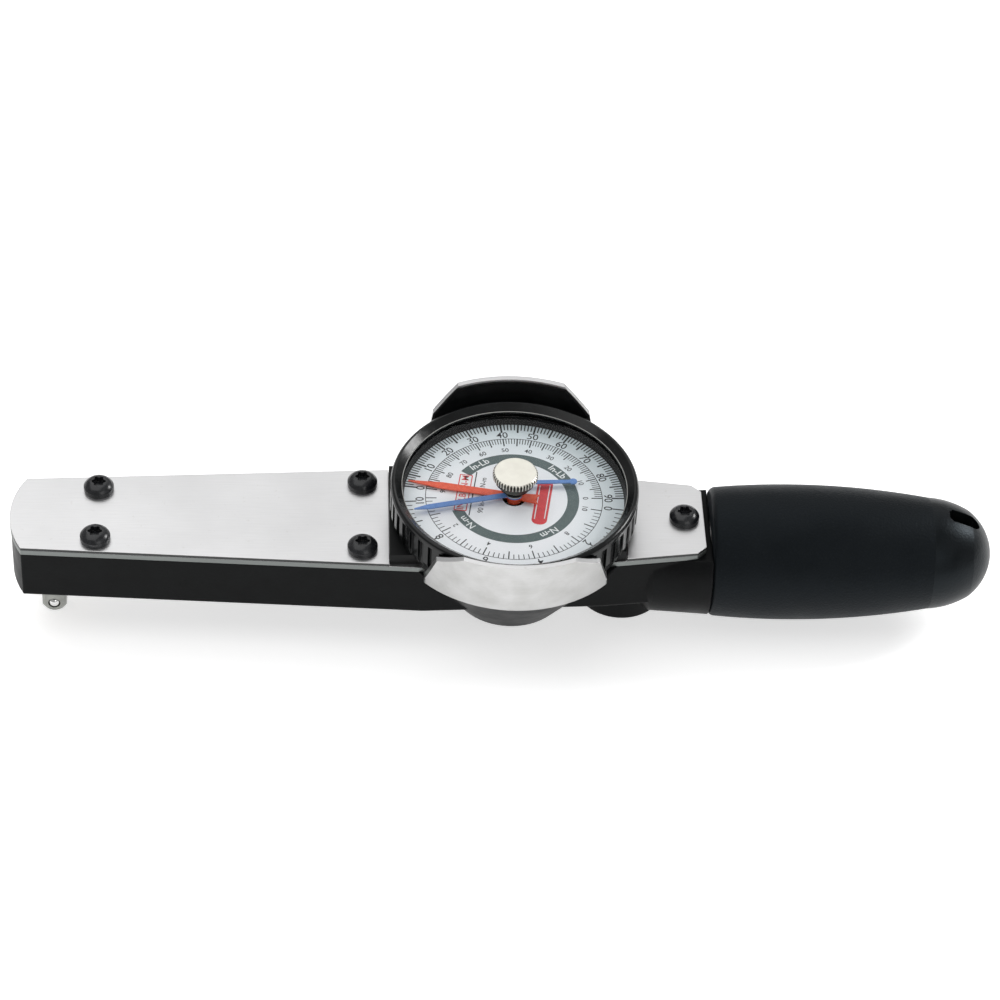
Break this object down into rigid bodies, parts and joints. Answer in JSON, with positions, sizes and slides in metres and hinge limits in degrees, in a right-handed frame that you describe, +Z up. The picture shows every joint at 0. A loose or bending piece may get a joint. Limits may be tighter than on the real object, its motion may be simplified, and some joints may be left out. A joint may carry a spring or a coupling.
{
  "type": "torque wrench",
  "caption": "Dial torque wrench with a square drive, a flexing beam inside a cast body, a covered dial with main and memory pointers between sheet guards, and a rubber grip.",
  "frame": {"origin": "centre of the square drive's end face", "axes": "+X along the handle, away from the drive; +Z up the drive axis towards the dial"},
  "size_m": [0.263, 0.0754, 0.0501],
  "materials": {
    "casting": "satin",
    "stainless": "brushed",
    "black_oxide": "satin",
    "bronze": "machined",
    "nickel": "satin",
    "steel": "ground",
    "aluminium": "satin",
    "cup_plastic": "matte",
    "bezel_black": "gloss",
    "dial_white": "matte",
    "gasket": "matte",
    "crystal": "polished",
    "pointer_red": "satin",
    "pointer_blue": "satin",
    "grip": "textured",
    "cap": "satin",
    "liner": "satin"
  },
  "bodies": {
    "body": {"body_casting": "casting", "frame_plate": "stainless", "guard_liners": "liner", "front_cover_plate": "stainless", "rear_cover_plate": "stainless", "cover_screws": "black_oxide", "bottom_bush": "bronze", "top_bush": "bronze", "load_pins": "steel", "movement_bridge": "bronze", "bridge_pillars": "bronze", "bridge_screws": "steel", "lower_arbor_bush": "bronze", "upper_arbor_bush": "bronze", "dial_cup": "cup_plastic", "cup_screws": "steel", "hairspring_stud": "bronze", "handle_core": "steel", "handle_grip": "grip", "end_cap": "cap"},
    "drive": {"drive_shaft": "nickel", "measuring_beam": "steel", "beam_pin": "steel", "indicator_arm": "aluminium", "arm_screws": "steel", "sector_gear": "bronze", "sector_rivets": "steel"},
    "detent": {"detent_ball": "steel", "detent_spring": "steel"},
    "pointer": {"pinion_arbor": "steel", "main_pointer": "pointer_red", "hairspring": "bronze"},
    "bezel": {"bezel_ring": "bezel_black", "bezel_snap_ring": "steel", "dial_retainer": "cup_plastic", "dial_face": "dial_white", "dial_spacer": "cup_plastic", "crystal_gasket": "gasket", "crystal": "crystal"},
    "memory": {"memory_pointer": "pointer_blue", "memory_shaft": "steel", "memory_clip": "steel", "memory_washer": "gasket", "memory_knob": "nickel"}
  },
  "joints": [
    {"name": "drive_turn", "type": "hinge", "parent": "body", "child": "drive", "pos_m": [0, 0, 0], "axis": [0, 0, 1], "range_deg": [-3.59, 3.59], "stiffness_Nm_per_rad": 60, "deforming": ["measuring_beam"]},
    {"name": "ball_press", "type": "slide", "parent": "drive", "child": "detent", "axis": [0, 1, 0], "range_m": [0, 0.00055], "stiffness_N_per_m": 1000, "springref_m": -0.0005, "deforming": ["detent_spring"]},
    {"name": "pointer_turn", "type": "hinge", "parent": "body", "child": "pointer", "pos_m": [0.1228, 0, 0], "axis": [0, 0, 1], "range_deg": [-180, 180], "deforming": ["hairspring"]},
    {"name": "bezel_turn", "type": "hinge", "parent": "body", "child": "bezel", "pos_m": [0.1228, 0, 0], "axis": [0, 0, 1], "continuous": true},
    {"name": "memory_turn", "type": "hinge", "parent": "bezel", "child": "memory", "pos_m": [0.1228, 0, 0], "axis": [0, 0, 1], "continuous": true}
  ],
  "couplings": [
    {"joint": "pointer_turn", "follows": "drive_turn", "ratio": -50.167}
  ]
}
